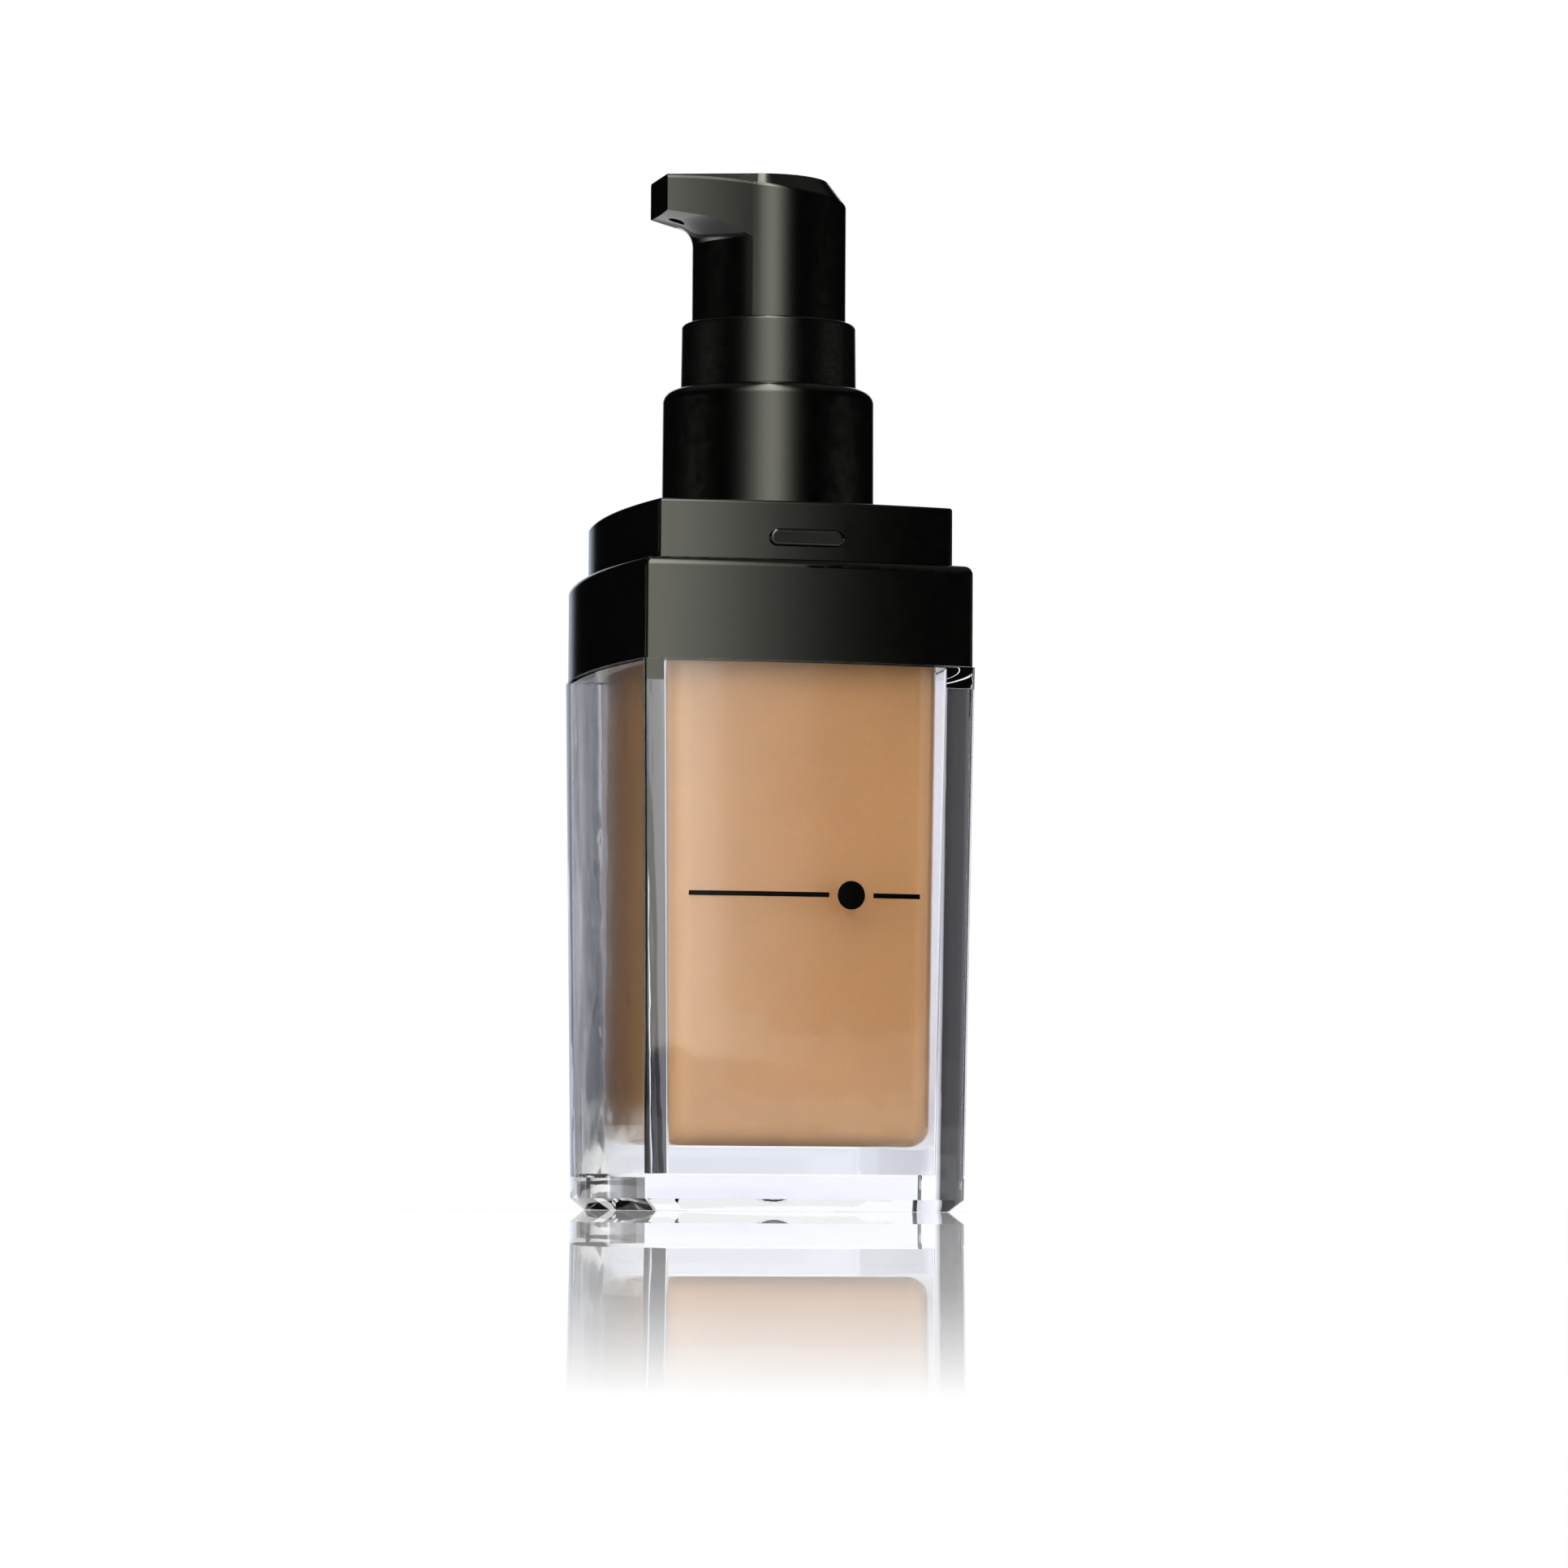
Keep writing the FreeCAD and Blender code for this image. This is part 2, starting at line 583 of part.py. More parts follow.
# ---- actuator ----
def head_outline(z):
    """Round head with a beak towards -X whose slightly hollow sides run into the round."""
    angle = math.radians(BEAK_JOIN_ANGLE)
    ux, uy = -math.sin(angle), -math.cos(angle)
    along = -BEAK_REACH * ux - BEAK_HALF_W * uy
    reach_sq = BEAK_REACH ** 2 + BEAK_HALF_W ** 2
    side_r = (HEAD_R ** 2 - 2 * HEAD_R * along + reach_sq) / (2 * (along - HEAD_R))
    tip = V(-BEAK_REACH, -BEAK_HALF_W, z)
    join = V(HEAD_R * ux, HEAD_R * uy, z)
    centre = V((HEAD_R + side_r) * ux, (HEAD_R + side_r) * uy, z)
    towards = (tip + join) * 0.5 - centre
    middle = centre + towards * (side_r / towards.Length)
    near = [tip, middle, join]
    far = [V(p.x, -p.y, z) for p in reversed(near)]
    edges = [
        Part.Arc(*near).toShape(),
        Part.Arc(join, V(HEAD_R, 0, z), far[0]).toShape(),
        Part.Arc(*far).toShape(),
        Part.LineSegment(far[2], tip).toShape(),
    ]
    return Part.Wire(edges)


def top_outline(z, grow):
    """Outline of the flat top, grown by a bevel: a round end with tangents to the beak's corners."""
    dx, dy = TOP_FLAT_SHIFT - BEAK_REACH, -(BEAK_HALF_W - TIP_INSET)
    angle = math.atan2(dy, dx) + math.acos(TOP_FLAT_R / math.hypot(dx, dy))
    nx, ny = math.cos(angle), math.sin(angle)
    radius = TOP_FLAT_R + grow
    end_x = -BEAK_REACH - TOP_OVERRUN - grow
    end_y = (radius - nx * (end_x + TOP_FLAT_SHIFT)) / ny
    touch = V(radius * nx - TOP_FLAT_SHIFT, radius * ny, z)
    end = V(end_x, end_y, z)
    touch_far, end_far = V(touch.x, -touch.y, z), V(end.x, -end.y, z)
    edges = [
        Part.LineSegment(end, touch).toShape(),
        Part.Arc(touch, V(radius - TOP_FLAT_SHIFT, 0, z), touch_far).toShape(),
        Part.LineSegment(touch_far, end_far).toShape(),
        Part.LineSegment(end_far, end).toShape(),
    ]
    return Part.Wire(edges)


def beak_undercut():
    """Ring that hollows the beak's underside and leaves the round head below it."""
    slope = math.radians(UNDERCUT_SLOPE)
    turn = math.pi / 2 - slope
    centre_r = HEAD_R + UNDERCUT_R
    start, middle, end = [
        V(centre_r - UNDERCUT_R * math.cos(a), 0, UNDERCUT_Z + UNDERCUT_R * math.sin(a))
        for a in (0, turn / 2, turn)
    ]
    outer = BEAK_REACH + UNDERCUT_SPAN
    outer_z = end.z + (outer - end.x) * math.tan(slope)
    low_z = UNDERCUT_Z - UNDERCUT_SPAN
    rest = Part.makePolygon([end, V(outer, 0, outer_z), V(outer, 0, low_z), V(HEAD_R, 0, low_z), start])
    outline = Part.Wire([Part.Arc(start, middle, end).toShape()] + rest.Edges)
    return Part.Face(outline).revolve(ORIGIN, Z_AXIS, 360)


def bevel_foot_edges(shape):
    """The long edges where the top's bevel meets the sides of the beak."""
    found = []
    for edge in shape.Edges:
        box = edge.BoundBox
        long_way = box.XMax - box.XMin > CHANNEL_R
        if long_way and box.ZMin > UNDERCUT_Z + UNDERCUT_R and CHANNEL_Z < box.ZMax < HEAD_TOP_Z - TIP_INSET:
            found.append(edge)
    return found


def actuator_cover():
    block_z = UNDERCUT_Z - PAST
    block = Part.Face(head_outline(block_z)).extrude(V(0, 0, HEAD_TOP_Z - block_z))
    bevel_foot = top_outline(HEAD_TOP_Z - TOP_BEVEL_DEPTH, TOP_BEVEL_DEPTH / TOP_BEVEL_RISE)
    bevel = Part.makeLoft([bevel_foot, top_outline(HEAD_TOP_Z, 0)], True, True)
    block = block.cut(beak_undercut()).common(bevel)
    skirt = rod(HEAD_R, SKIRT_FOOT_Z, UNDERCUT_Z)
    inner_r = HEAD_R - SKIRT_WALL
    roof_z = HEAD_TOP_Z - ROOF_T
    hollow = turned([
        (0, SKIRT_FOOT_Z - PAST),
        (inner_r, SKIRT_FOOT_Z - PAST),
        (inner_r, roof_z - ROOF_COVE_H),
        (inner_r - ROOF_COVE_W, roof_z),
        (0, roof_z),
    ])
    end_x = BEAK_WALL - BEAK_REACH
    channel = Part.makeCylinder(CHANNEL_TUBE_R + CHANNEL_FIT, -end_x, V(end_x, 0, CHANNEL_Z), X_AXIS)
    outlet = rod(OUTLET_R + OUTLET_RELIEF, CHANNEL_Z - OUTLET_DROP, CHANNEL_Z)
    outlet.translate(V(OUTLET_X, 0, 0))
    body = block.fuse(skirt).removeSplitter()
    body = body.makeFillet(BEAK_EDGE_R, bevel_foot_edges(body))
    return body.cut(hollow).cut(channel).cut(outlet)


def nozzle_core():
    """Inner nozzle: a socket on the stem and a thin tube out to the beak's outlet."""
    roof_z = HEAD_TOP_Z - ROOF_T - CORE_GAP
    boss = rod(CORE_BOSS_R, CORE_FOOT_Z, roof_z)
    web_half = HEAD_R - SKIRT_WALL - CORE_WEB_GAP
    web_corner = V(-web_half, -CORE_WEB_T / 2, roof_z - CORE_WEB_DROP)
    web = Part.makeBox(2 * web_half, CORE_WEB_T, CORE_WEB_H, web_corner)
    end_x = BEAK_WALL - BEAK_REACH + CORE_GAP
    bore_x = end_x + CORE_PLUG_T
    arm = Part.makeCylinder(CHANNEL_TUBE_R, -end_x, V(end_x, 0, CHANNEL_Z), X_AXIS)
    outlet = rod(OUTLET_R, CHANNEL_Z - OUTLET_DROP, CHANNEL_Z)
    outlet.translate(V(OUTLET_X, 0, 0))
    hollows = [
        rod(STEM_R, CORE_FOOT_Z - PAST, STEM_TOP_Z),
        rod(STEM_BORE_R, STEM_TOP_Z - PAST, CHANNEL_Z),
        Part.makeCylinder(CHANNEL_R, -bore_x, V(bore_x, 0, CHANNEL_Z), X_AXIS),
        outlet,
    ]
    core = boss.fuse([web, web.rotated(ORIGIN, Z_AXIS, 90), arm])
    for hollow in hollows:
        core = core.cut(hollow)
    return core


# ---- assembly ----
NODES = {
    "outer_shell": outer_shell,
    "inner_bottle": inner_bottle,
    "foundation_fill": foundation_fill,
    "shoulder_band": shoulder_band,
    "cap_seat": cap_seat,
    "closure": closure,
    "closure_sleeve": closure_sleeve,
    "neck_gasket": neck_gasket,
    "pump_housing": pump_housing,
    "ball_cage": ball_cage,
    "stem_guide": stem_guide,
    "inlet_ball": inlet_ball,
    "dip_tube": dip_tube,
    "piston": piston,
    "piston_rod": piston_rod,
    "stem": stem,
    "return_spring": return_spring,
    "nozzle_core": nozzle_core,
    "actuator_cover": actuator_cover,
}

os.makedirs("parts", exist_ok=True)
for node, build in NODES.items():
    save(node, build())
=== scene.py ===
"""Looks for the square foundation bottle: clear acrylic, tan liquid, black mouldings, studio light."""

import math

import bmesh
import bpy
from mathutils import Matrix, Vector

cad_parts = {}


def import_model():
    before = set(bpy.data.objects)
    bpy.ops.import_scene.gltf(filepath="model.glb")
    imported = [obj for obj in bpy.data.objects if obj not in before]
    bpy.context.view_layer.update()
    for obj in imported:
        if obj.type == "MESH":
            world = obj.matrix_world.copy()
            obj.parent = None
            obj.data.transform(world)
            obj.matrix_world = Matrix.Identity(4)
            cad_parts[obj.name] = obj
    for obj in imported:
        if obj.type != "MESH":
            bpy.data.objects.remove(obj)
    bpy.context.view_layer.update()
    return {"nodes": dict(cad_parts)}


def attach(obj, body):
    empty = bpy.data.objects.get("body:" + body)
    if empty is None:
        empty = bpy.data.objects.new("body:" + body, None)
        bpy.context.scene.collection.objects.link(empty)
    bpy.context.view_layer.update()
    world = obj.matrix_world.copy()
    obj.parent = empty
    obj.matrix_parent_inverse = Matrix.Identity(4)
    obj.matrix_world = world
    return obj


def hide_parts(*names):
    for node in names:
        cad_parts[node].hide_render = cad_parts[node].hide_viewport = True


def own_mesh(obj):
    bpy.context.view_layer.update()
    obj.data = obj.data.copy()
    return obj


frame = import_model()
nodes = frame["nodes"]

# ---- camera, in metres and degrees ----
CAMERA_AZIMUTH = -14.97     # from the printed face, towards the beak
CAMERA_DISTANCE = 0.6098    # from the bottle's axis
CAMERA_HEIGHT = 0.0008
CAMERA_PITCH = 3.91
CAMERA_ROLL = 0.33
CAMERA_AIM_RIGHT = 0.0018   # how far right of the axis it points
CAMERA_LENS = 140.7         # on a 36 mm sensor

# ---- looks, in metres; bearings in degrees count from the camera's side, rightwards ----
QUARTER = 90.0
SHELL_RIPPLE = 0.0000006
INNER_RIPPLE = 0.000001
LIQUID_SWELL = 0.00007
FLOOR_REACH = 3.0
FLOOR_Z = -0.00002          # just under the bottle's foot
MIRROR_NEAR = 0.25          # the floor's mirror fades over this span of distances from the axis
MIRROR_FAR = 0.60
MIRROR_STOPS = [
    (0.0, 0.84),
    (0.174, 0.82),
    (0.597, 0.79),
    (0.782, 0.74),
    (0.856, 0.67),
    (0.895, 0.54),
    (0.913, 0.44),
    (0.926, 0.35),
    (0.937, 0.235),
    (0.946, 0.125),
    (0.953, 0.0),
]
FLOOR_GREY = 0.9
# painted shade: glossy reflections see the floor much darker than it is, so the black mouldings stay deep
# black
FLOOR_GREY_SEEN_IN_GLOSS = 0.2
DIFFUSE_LIGHT = 1.11
BOX_BEARING = 4.0           # the soft box over the camera, and how softly it falls off on each side
BOX_LIGHT = 3.9
BOX_LEFT = 21.5
BOX_RIGHT = 17.8
BOX_TINT = (1.0, 1.0, 0.86, 1)
SIDE_BOX_RISE = (0.08, 0.07)  # the same box at either side shows only to level rays
SIDE_BOX_END = 135.0        # and has no twin straight behind
BOX_HIGH_RISE = (0.2, 0.5)  # the box is brighter higher up
BOX_HIGH_GAIN = 2.5
FRONT_FILL = 3.0            # share of the box that lights things behind the clear walls
ROUND_FILL = 1.0            # light from all round on the same things
OVERHEAD_RISE = (0.5, 0.9)
OVERHEAD_LIGHT = 0.15
REAR_TINT = (0.75, 0.85, 1.0, 1)
REAR_SPAN = (17.0, 9.0)     # the lit sweep straight behind gains its full strength between these
BACK_LIGHT = (1.07, 1.09, 1.22)
BACK_STOPS = [              # light through the clear walls, over 90 degrees centred behind a face
    (0.0, 0.30),
    (0.08, 0.30),
    (0.14, 1.0),
    (0.70, 1.0),
    (0.73, 0.27),
    (0.83, 0.24),
    (0.86, 0.05),
    (1.0, 0.05),
]
LOW_RISE = (0.008, 0.03)    # between these rises the light from behind gains its full strength
LOW_LIGHT = 0.76
REAR_REACH = 52.0           # straight behind, the light through the walls by degrees off the middle
REAR_STOPS = [
    (-45.0, 0.19),
    (-41.0, 0.3),
    (-38.0, 1.0),
    (17.0, 1.0),
    (19.0, 0.95),
    (21.0, 0.55),
    (24.0, 0.28),
    (28.0, 0.14),
    (33.0, 0.07),
    (39.0, 0.06),
    (44.0, 0.06),
    (51.0, 0.042),
]
MARK_Z = 0.0306             # middle of the printed ornament
MARK_LEFT = -0.0122
MARK_RIGHT = 0.0110
MARK_DISC_X = 0.0039
MARK_DISC_R = 0.0014
MARK_GAP_R = 1.6 * MARK_DISC_R  # the rule stops this far from the disc's centre
MARK_RULE = 0.00024         # half the rule's height
MARK_FILM = 0.000012
RULE_STEPS = 40
DISC_RINGS = 4
DISC_STEPS = 48


# ---- node helpers ----
def new_material(name):
    material = bpy.data.materials.new(name)
    material.use_nodes = True
    tree = material.node_tree
    shader = tree.nodes["Principled BSDF"]
    return material, tree, shader


def set_inputs(node, **values):
    for name, value in values.items():
        node.inputs[name.replace("_", " ")].default_value = value


def add_node(tree, kind, **values):
    node = tree.nodes.new(kind)
    for name, value in values.items():
        setattr(node, name, value)
    return node


def math_node(tree, operation, first, second=0.0):
    """One sum on sockets or numbers; gives the result's socket."""
    node = add_node(tree, "ShaderNodeMath", operation=operation)
    for slot, value in enumerate((first, second)):
        if isinstance(value, (int, float)):
            node.inputs[slot].default_value = value
        else:
            tree.links.new(value, node.inputs[slot])
    return node.outputs["Value"]


def noise(tree, scale, detail=3.0, roughness=0.55, stretch=(1, 1, 1)):
    """Noise in the object's own metres."""
    place = add_node(tree, "ShaderNodeTexCoord")
    mapping = add_node(tree, "ShaderNodeMapping")
    mapping.inputs["Scale"].default_value = stretch
    texture = add_node(tree, "ShaderNodeTexNoise")
    set_inputs(texture, Scale=scale, Detail=detail, Roughness=roughness)
    tree.links.new(place.outputs["Object"], mapping.inputs["Vector"])
    tree.links.new(mapping.outputs["Vector"], texture.inputs["Vector"])
    return texture.outputs["Fac"]


def remap(tree, source, low, high, to_low=0.0, to_high=1.0):
    node = add_node(tree, "ShaderNodeMapRange")
    tree.links.new(source, node.inputs["Value"])
    for name, value in zip(("From Min", "From Max", "To Min", "To Max"), (low, high, to_low, to_high)):
        node.inputs[name].default_value = value
    return node.outputs["Result"]


def ramp(tree, source, stops):
    """Colour by value; a stop is (position, colour) and a plain number is a grey."""
    node = add_node(tree, "ShaderNodeValToRGB")
    band = node.color_ramp
    while len(band.elements) < len(stops):
        band.elements.new(1.0)
    for element, (place, colour) in zip(band.elements, stops):
        element.position = place
        element.color = (colour, colour, colour, 1) if isinstance(colour, (int, float)) else (*colour, 1)
    tree.links.new(source, node.inputs["Fac"])
    return node.outputs["Color"]


def blend_colours(tree, factor, first, second):
    """first where factor is 0, second where it is 1; each is a socket or a colour."""
    node = add_node(tree, "ShaderNodeMix", data_type="RGBA")
    for slot, value in ((0, factor), (6, first), (7, second)):
        if isinstance(value, (int, float, tuple)):
            node.inputs[slot].default_value = value
        else:
            tree.links.new(value, node.inputs[slot])
    return node.outputs[2]


def tinted(tree, light, colour):
    """A light's value, or a grey, times a colour."""
    node = add_node(tree, "ShaderNodeVectorMath", operation="MULTIPLY")
    tree.links.new(light, node.inputs[0])
    node.inputs[1].default_value = colour[:3]
    return node.outputs["Vector"]


def bump(tree, shader, height, strength, distance):
    node = add_node(tree, "ShaderNodeBump")
    set_inputs(node, Strength=strength, Distance=distance)
    tree.links.new(height, node.inputs["Height"])
    tree.links.new(node.outputs["Normal"], shader.inputs["Normal"])


# ---- materials ----
def clear_plastic(name, ior, ripple):
    """Water-clear moulded plastic with the faint flow ripple of a thick moulding."""
    material, tree, shader = new_material(name)
    set_inputs(shader, Roughness=0.02, IOR=ior, Transmission_Weight=1.0)
    haze = remap(tree, noise(tree, 60, 2), 0.3, 0.7)
    tint = blend_colours(tree, haze, (0.975, 0.985, 0.985, 1), (0.995, 1.0, 1.0, 1))
    tree.links.new(tint, shader.inputs["Base Color"])
    bump(tree, shader, noise(tree, 45, 1, 0.4, (1, 1, 0.35)), 1.0, ripple)
    return material


def foundation_liquid():
    """Tan liquid with the faint mineral grain of a settled emulsion."""
    material, tree, shader = new_material("foundation_liquid")
    set_inputs(shader, Roughness=0.49, Specular_IOR_Level=1.0)
    cloud = remap(tree, noise(tree, 120, 3), 0.35, 0.65)
    grain = remap(tree, noise(tree, 5200, 2), 0.3, 0.7)
    tan = blend_colours(tree, cloud, (0.68, 0.340, 0.103, 1), (0.72, 0.362, 0.113, 1))
    speckled = blend_colours(tree, grain, (0.64, 0.316, 0.093, 1), tan)
    tree.links.new(speckled, shader.inputs["Base Color"])
    return material


def black_plastic(name, roughness, texture, pit, sheen=0.5):
    """Black moulding; roughness is a (low, high) pair, texture and pit are its skin's scale and depth."""
    material, tree, shader = new_material(name)
    set_inputs(shader, IOR=1.5, Specular_IOR_Level=sheen)
    tone = ramp(tree, noise(tree, 700, 3), [(0.3, 0.0004), (0.7, 0.0012)])
    tree.links.new(tone, shader.inputs["Base Color"])
    tree.links.new(remap(tree, noise(tree, texture, 3), 0.3, 0.7, *roughness), shader.inputs["Roughness"])
    bump(tree, shader, noise(tree, 2 * texture, 2), 0.5, pit)
    return material


def natural_plastic():
    material, tree, shader = new_material("natural_plastic")
    cloud = remap(tree, noise(tree, 300, 3), 0.3, 0.7)
    tone = blend_colours(tree, cloud, (0.74, 0.74, 0.70, 1), (0.82, 0.82, 0.79, 1))
    tree.links.new(tone, shader.inputs["Base Color"])
    tree.links.new(remap(tree, noise(tree, 700, 3), 0.3, 0.7, 0.3, 0.42), shader.inputs["Roughness"])
    bump(tree, shader, noise(tree, 1500, 2), 0.3, 0.00002)
    return material


def gasket_foam():
    material, tree, shader = new_material("gasket_foam")
    cells = noise(tree, 3000, 4)
    tree.links.new(ramp(tree, cells, [(0.3, 0.55), (0.7, 0.75)]), shader.inputs["Base Color"])
    set_inputs(shader, Roughness=0.85)
    bump(tree, shader, cells, 0.5, 0.00005)
    return material


def spring_steel():
    material, tree, shader = new_material("spring_steel")
    drawn = noise(tree, 1800, 3)
    tree.links.new(ramp(tree, drawn, [(0.3, 0.52), (0.7, 0.66)]), shader.inputs["Base Color"])
    set_inputs(shader, Metallic=1.0)
    tree.links.new(remap(tree, drawn, 0.3, 0.7, 0.18, 0.32), shader.inputs["Roughness"])
    return material


def dress(names, material):
    for name in names:
        mesh = nodes[name].data
        mesh.materials.clear()
        mesh.materials.append(material)


dress(["outer_shell"], clear_plastic("shell_acrylic", 1.49, SHELL_RIPPLE))
dress(["inner_bottle"], clear_plastic("inner_plastic", 1.5, INNER_RIPPLE))
dress(["shoulder_band", "cap_seat", "closure_sleeve", "actuator_cover"],
      black_plastic("gloss_black", (0.10, 0.14), 900, 0.000004))
dress(["closure", "nozzle_core"], black_plastic("satin_black", (0.13, 0.19), 2600, 0.00001))
dress(["pump_housing", "ball_cage", "stem_guide", "dip_tube", "piston", "piston_rod", "stem"],
      natural_plastic())
dress(["neck_gasket"], gasket_foam())
dress(["return_spring", "inlet_ball"], spring_steel())


# ---- pieces that stand for CAD nodes, or are added ----
def wetted_liquid():
    """The liquid, swollen until it wets the inner bottle, so no air shows between them."""
    mesh = nodes["foundation_fill"].data.copy()
    mesh.name = "wetted_liquid"
    reach = [v.normal.copy() * LIQUID_SWELL for v in mesh.vertices]
    for vertex, step in zip(mesh.vertices, reach):
        vertex.co += step
    mesh.materials.clear()
    mesh.materials.append(foundation_liquid())
    liquid = bpy.data.objects.new("wetted_liquid", mesh)
    bpy.context.scene.collection.objects.link(liquid)
    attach(liquid, "bottle")
    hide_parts("foundation_fill")


def working_spring():
    """The return spring as a mesh of its own, carried by the pump."""
    mesh = nodes["return_spring"].data.copy()
    mesh.name = "working_spring"
    spring = bpy.data.objects.new("working_spring", mesh)
    bpy.context.scene.collection.objects.link(spring)
    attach(spring, "pump")
    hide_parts("return_spring")
    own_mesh(spring)


def printed_ornament():
    """A plain rule with a disc, printed as a thin film that follows the bowed front of the shell."""
    spans = [(MARK_LEFT, MARK_DISC_X - MARK_GAP_R), (MARK_DISC_X + MARK_GAP_R, MARK_RIGHT)]
    form = bmesh.new()
    for start, end in spans:
        rows = []
        for step in range(RULE_STEPS + 1):
            x = start + (end - start) * step / RULE_STEPS
            rows.append([form.verts.new((x, 0, MARK_Z + side * MARK_RULE)) for side in (-1, 1)])
        for low, high in zip(rows, rows[1:]):
            form.faces.new((low[0], high[0], high[1], low[1]))
    rings = [[form.verts.new((MARK_DISC_X, 0, MARK_Z))]]
    for ring in range(1, DISC_RINGS + 1):
        radius = MARK_DISC_R * ring / DISC_RINGS
        angles = [2 * math.pi * k / DISC_STEPS for k in range(DISC_STEPS)]
        points = [(MARK_DISC_X + radius * math.cos(a), 0, MARK_Z + radius * math.sin(a)) for a in angles]
        rings.append([form.verts.new(p) for p in points])
    for k in range(DISC_STEPS):
        after = (k + 1) % DISC_STEPS
        form.faces.new((rings[0][0], rings[1][k], rings[1][after]))
        for low, high in zip(rings[1:], rings[2:]):
            form.faces.new((low[k], high[k], high[after], low[after]))
    for vertex in form.verts:
        vertex.co.y = front_of_shell(vertex.co.x, vertex.co.z) - MARK_FILM
    mesh = bpy.data.meshes.new("printed_ornament")
    form.to_mesh(mesh)
    form.free()
    mesh.materials.append(black_plastic("ink", (0.12, 0.2), 3000, 0.000001, 0.08))
    mark = bpy.data.objects.new("printed_ornament", mesh)
    bpy.context.scene.collection.objects.link(mark)
    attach(mark, "bottle")


def front_of_shell(x, z):
    """Y of the shell's outer front face, found on its own surface."""
    hit = nodes["outer_shell"].ray_cast((x, -1.0, z), (0, 1, 0))
    return hit[1].y


wetted_liquid()
working_spring()
printed_ornament()


# ---- studio ----
def floor():
    """White sheet whose polish mirrors the bottle close by and fades out further off."""
    mesh = bpy.data.meshes.new("floor")
    corners = [(FLOOR_REACH * x, FLOOR_REACH * y, 0) for x, y in ((-1, -1), (1, -1), (1, 1), (-1, 1))]
    mesh.from_pydata(corners, [], [(0, 1, 2, 3)])
    plane = bpy.data.objects.new("floor", mesh)
    bpy.context.scene.collection.objects.link(plane)
    plane.location.z = FLOOR_Z
    material, tree, shader = new_material("pale_floor")
    tree.nodes.remove(shader)
    matt = add_node(tree, "ShaderNodeBsdfDiffuse")
    mirror = add_node(tree, "ShaderNodeBsdfGlossy")
    set_inputs(mirror, Roughness=0.0)
    mirror.inputs["Color"].default_value = (1, 1, 1, 1)
    path = add_node(tree, "ShaderNodeLightPath")
    # painted shade: the floor's matt grey drops to the darker grey in glossy reflections, though not seen
    # through clear walls
    greys = [(value,) * 3 + (1,) for value in (FLOOR_GREY, FLOOR_GREY_SEEN_IN_GLOSS)]
    glossy, through = path.outputs["Is Glossy Ray"], path.outputs["Is Transmission Ray"]
    grey = blend_colours(tree, math_node(tree, "GREATER_THAN", glossy, through), *greys)
    tree.links.new(grey, matt.inputs["Color"])
    place = add_node(tree, "ShaderNodeTexCoord")
    length = add_node(tree, "ShaderNodeVectorMath", operation="LENGTH")
    tree.links.new(place.outputs["Object"], length.inputs[0])
    share = ramp(tree, remap(tree, length.outputs["Value"], MIRROR_NEAR, MIRROR_FAR), MIRROR_STOPS)
    mix = add_node(tree, "ShaderNodeMixShader")
    tree.links.new(share, mix.inputs["Fac"])
    tree.links.new(matt.outputs["BSDF"], mix.inputs[1])
    tree.links.new(mirror.outputs["BSDF"], mix.inputs[2])
    tree.links.new(mix.outputs["Shader"], tree.nodes["Material Output"].inputs["Surface"])
    mesh.materials.append(material)


def folded(tree, bearing):
    """The bearing within its own quarter turn, from -45 to 45."""
    shifted = math_node(tree, "ADD", bearing, QUARTER / 2)
    wrapped = math_node(tree, "FLOORED_MODULO", shifted, QUARTER)
    return math_node(tree, "SUBTRACT", wrapped, QUARTER / 2)


def box_glow(tree, bearing):
    """A bell of light round the soft box's bearing, wider on its left."""
    off = math_node(tree, "SUBTRACT", bearing, BOX_BEARING)
    right = math_node(tree, "GREATER_THAN", off, 0.0)
    width = math_node(tree, "ADD", math_node(tree, "MULTIPLY", right, BOX_RIGHT - BOX_LEFT), BOX_LEFT)
    steep = math_node(tree, "POWER", math_node(tree, "DIVIDE", off, width), 2.0)
    fall = math_node(tree, "POWER", math.e, math_node(tree, "MULTIPLY", steep, -1.0))
    return math_node(tree, "MULTIPLY", fall, BOX_LIGHT)


def light_in_mirrors(tree, bearing, rise):
    """What glossy reflections show: the soft box, its level twins at the sides, the lit sweep behind."""
    away = math_node(tree, "ABSOLUTE", bearing)
    level = remap(tree, rise, *SIDE_BOX_RISE)
    beside = math_node(tree, "MULTIPLY", level, math_node(tree, "LESS_THAN", away, SIDE_BOX_END))
    side_boxes = math_node(tree, "MULTIPLY", box_glow(tree, folded(tree, bearing)), beside)
    gain = remap(tree, rise, *BOX_HIGH_RISE, 1.0, BOX_HIGH_GAIN)
    high_box = math_node(tree, "MULTIPLY", box_glow(tree, bearing), gain)
    boxes = math_node(tree, "MAXIMUM", high_box, side_boxes)
    overhead = remap(tree, rise, *OVERHEAD_RISE, 0.0, OVERHEAD_LIGHT)
    mirrored = tinted(tree, math_node(tree, "ADD", boxes, overhead), BOX_TINT)
    rear = remap(tree, math_node(tree, "SUBTRACT", 180.0, away), *REAR_SPAN)
    return blend_colours(tree, rear, mirrored, REAR_TINT)


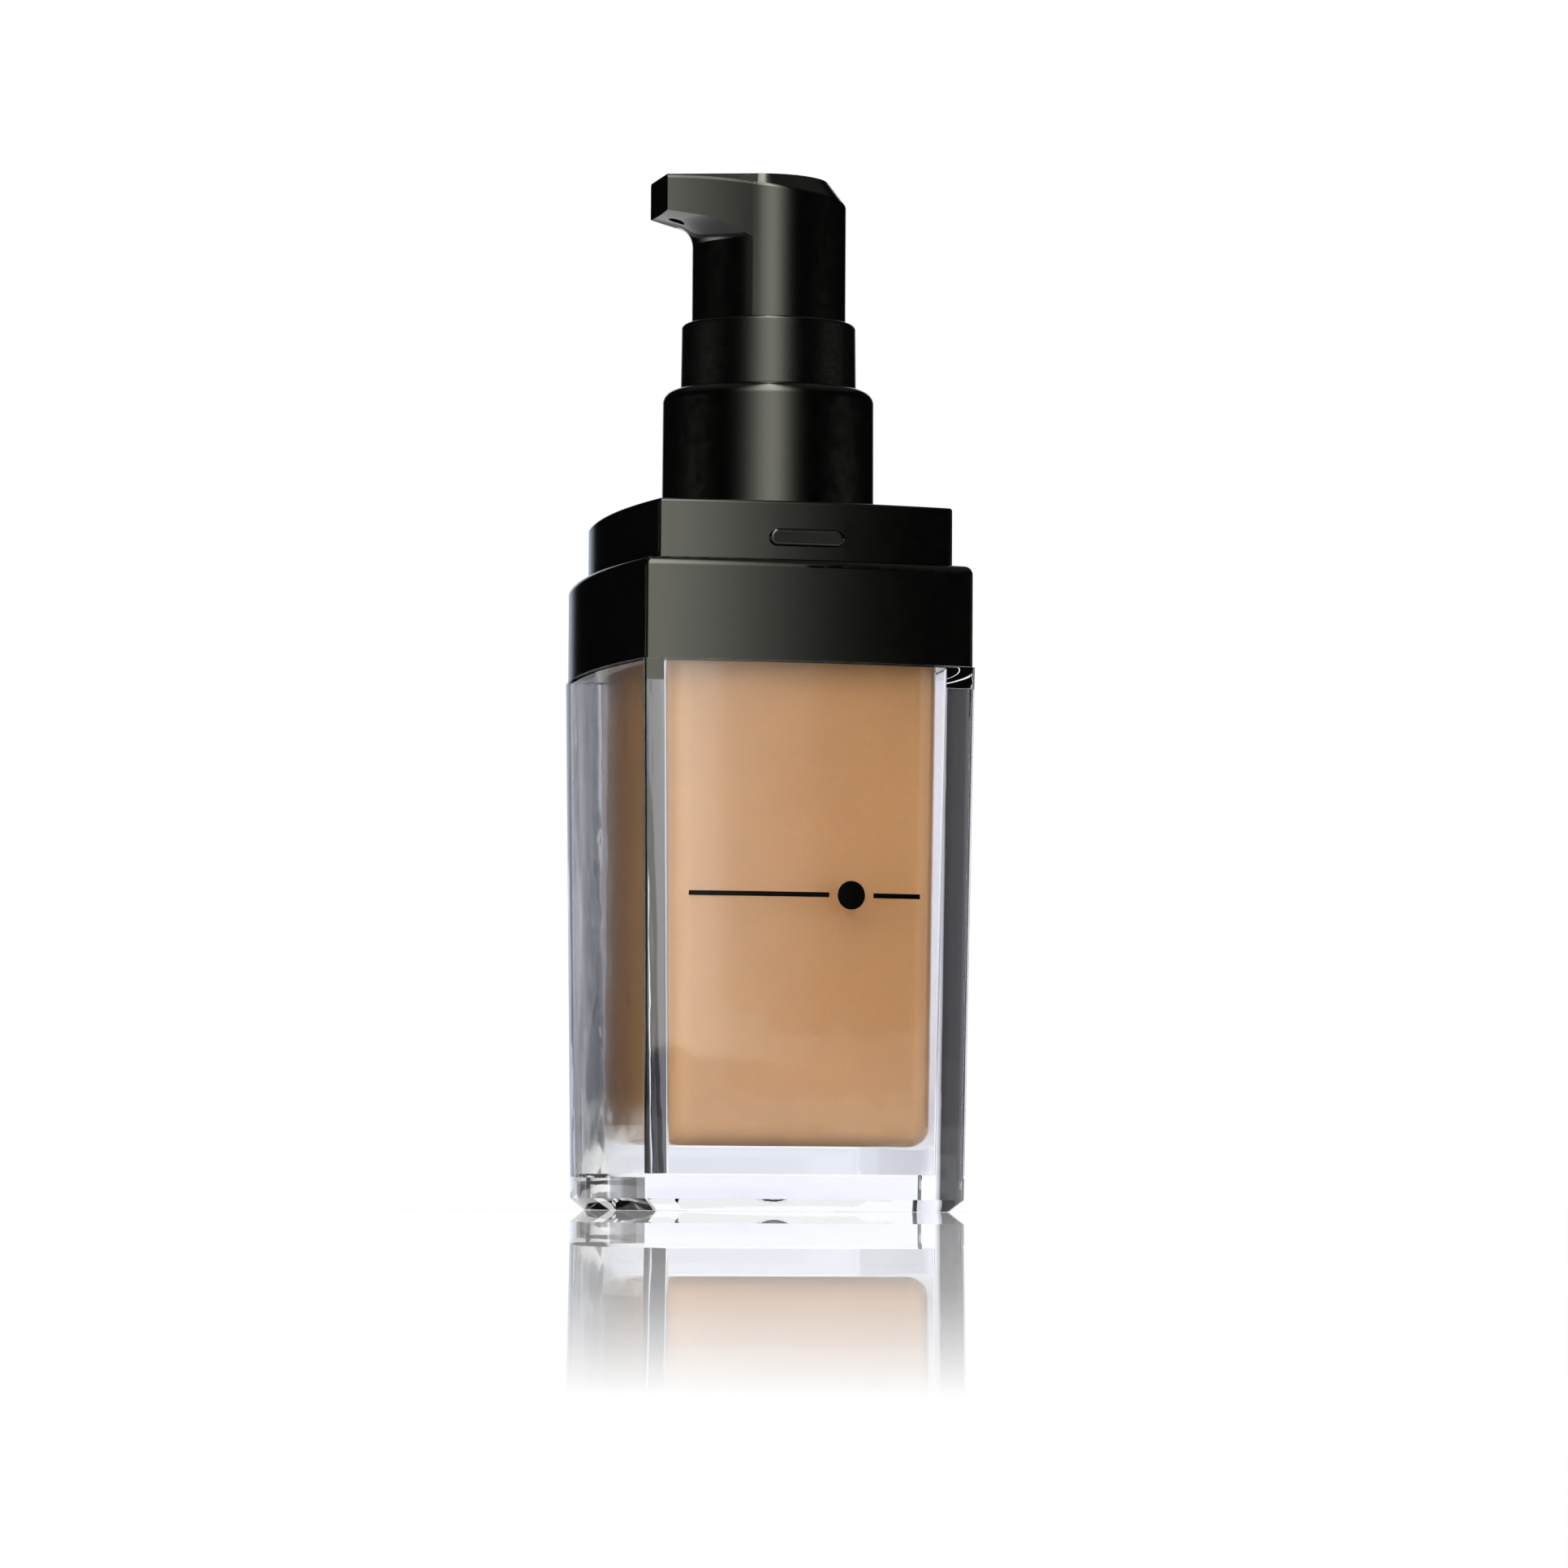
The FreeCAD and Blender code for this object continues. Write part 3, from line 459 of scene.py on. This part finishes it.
def light_through_walls(tree, bearing, rise, onto_matt):
    """What shows through the clear walls, with a fill that only matt things behind them receive."""
    share = math_node(tree, "ADD", math_node(tree, "DIVIDE", folded(tree, bearing), QUARTER), 0.5)
    shift = math_node(tree, "FLOORED_MODULO", bearing, 360.0)
    rear_share = remap(tree, shift, 180 - REAR_REACH, 180 + REAR_REACH)
    rear_places = [((degrees / REAR_REACH + 1) / 2, light) for degrees, light in REAR_STOPS]
    behind = math_node(tree, "GREATER_THAN", math_node(tree, "ABSOLUTE", bearing), 180 - REAR_REACH)
    pattern = blend_colours(tree, behind, ramp(tree, share, BACK_STOPS), ramp(tree, rear_share, rear_places))
    pattern = math_node(tree, "MULTIPLY", pattern, remap(tree, rise, *LOW_RISE, LOW_LIGHT, 1.0))
    box_fill = math_node(tree, "MULTIPLY", box_glow(tree, bearing), FRONT_FILL)
    fill = math_node(tree, "MULTIPLY", math_node(tree, "ADD", box_fill, ROUND_FILL), onto_matt)
    through = add_node(tree, "ShaderNodeVectorMath", operation="ADD")
    tree.links.new(tinted(tree, pattern, BACK_LIGHT), through.inputs[0])
    tree.links.new(fill, through.inputs[1])
    return through.outputs["Vector"]


def world():
    """Soft studio round the bottle: a soft box over the camera, a lit sweep behind, dark wings between."""
    studio = bpy.data.worlds.new("studio")
    bpy.context.scene.world = studio
    studio.use_nodes = True
    tree = studio.node_tree
    place = add_node(tree, "ShaderNodeTexCoord")
    turned = add_node(tree, "ShaderNodeVectorRotate", rotation_type="Z_AXIS")
    turned.inputs["Angle"].default_value = -math.radians(CAMERA_AZIMUTH)
    tree.links.new(place.outputs["Generated"], turned.inputs["Vector"])
    parts = add_node(tree, "ShaderNodeSeparateXYZ")
    tree.links.new(turned.outputs["Vector"], parts.inputs["Vector"])
    side, back, rise = (parts.outputs[axis] for axis in "XYZ")
    turn = math_node(tree, "ARCTAN2", side, math_node(tree, "MULTIPLY", back, -1.0))
    bearing = math_node(tree, "MULTIPLY", turn, 180 / math.pi)
    path = add_node(tree, "ShaderNodeLightPath")
    onto_matt = math_node(tree, "GREATER_THAN", path.outputs["Diffuse Depth"], 0.5)
    mirrored = light_in_mirrors(tree, bearing, rise)
    through = light_through_walls(tree, bearing, rise, onto_matt)
    white = (1.0, 1.0, 1.0, 1)
    mirrored = blend_colours(tree, path.outputs["Is Singular Ray"], mirrored, white)
    seen = blend_colours(tree, path.outputs["Is Glossy Ray"], (DIFFUSE_LIGHT,) * 3 + (1,), mirrored)
    seen = blend_colours(tree, path.outputs["Is Transmission Ray"], seen, through)
    seen = blend_colours(tree, path.outputs["Is Camera Ray"], seen, white)
    tree.links.new(seen, tree.nodes["Background"].inputs["Color"])


def camera():
    a, p, r = (math.radians(v) for v in (CAMERA_AZIMUTH, CAMERA_PITCH, CAMERA_ROLL))
    back = Vector((math.sin(a), -math.cos(a), 0))
    right = Vector((math.cos(a), math.sin(a), 0))
    yaw = math.atan2(CAMERA_AIM_RIGHT, CAMERA_DISTANCE)
    turn = Matrix.Rotation(-yaw, 3, "Z")
    back_aimed, right_aimed = turn @ back, turn @ right
    look_back = back_aimed * math.cos(p) - Vector((0, 0, math.sin(p)))
    up = look_back.cross(right_aimed)
    right_rolled = right_aimed * math.cos(r) + up * math.sin(r)
    up_rolled = up * math.cos(r) - right_aimed * math.sin(r)
    data = bpy.data.cameras.new("camera")
    data.lens = CAMERA_LENS
    data.sensor_width = 36.0
    data.clip_start = 0.002
    eye = bpy.data.objects.new("camera", data)
    bpy.context.scene.collection.objects.link(eye)
    eye.matrix_world = Matrix((
        (right_rolled.x, up_rolled.x, look_back.x, back.x * CAMERA_DISTANCE),
        (right_rolled.y, up_rolled.y, look_back.y, back.y * CAMERA_DISTANCE),
        (right_rolled.z, up_rolled.z, look_back.z, CAMERA_HEIGHT),
        (0, 0, 0, 1),
    ))
    bpy.context.scene.camera = eye


floor()
world()
camera()
bpy.context.scene.view_settings.view_transform = "Standard"
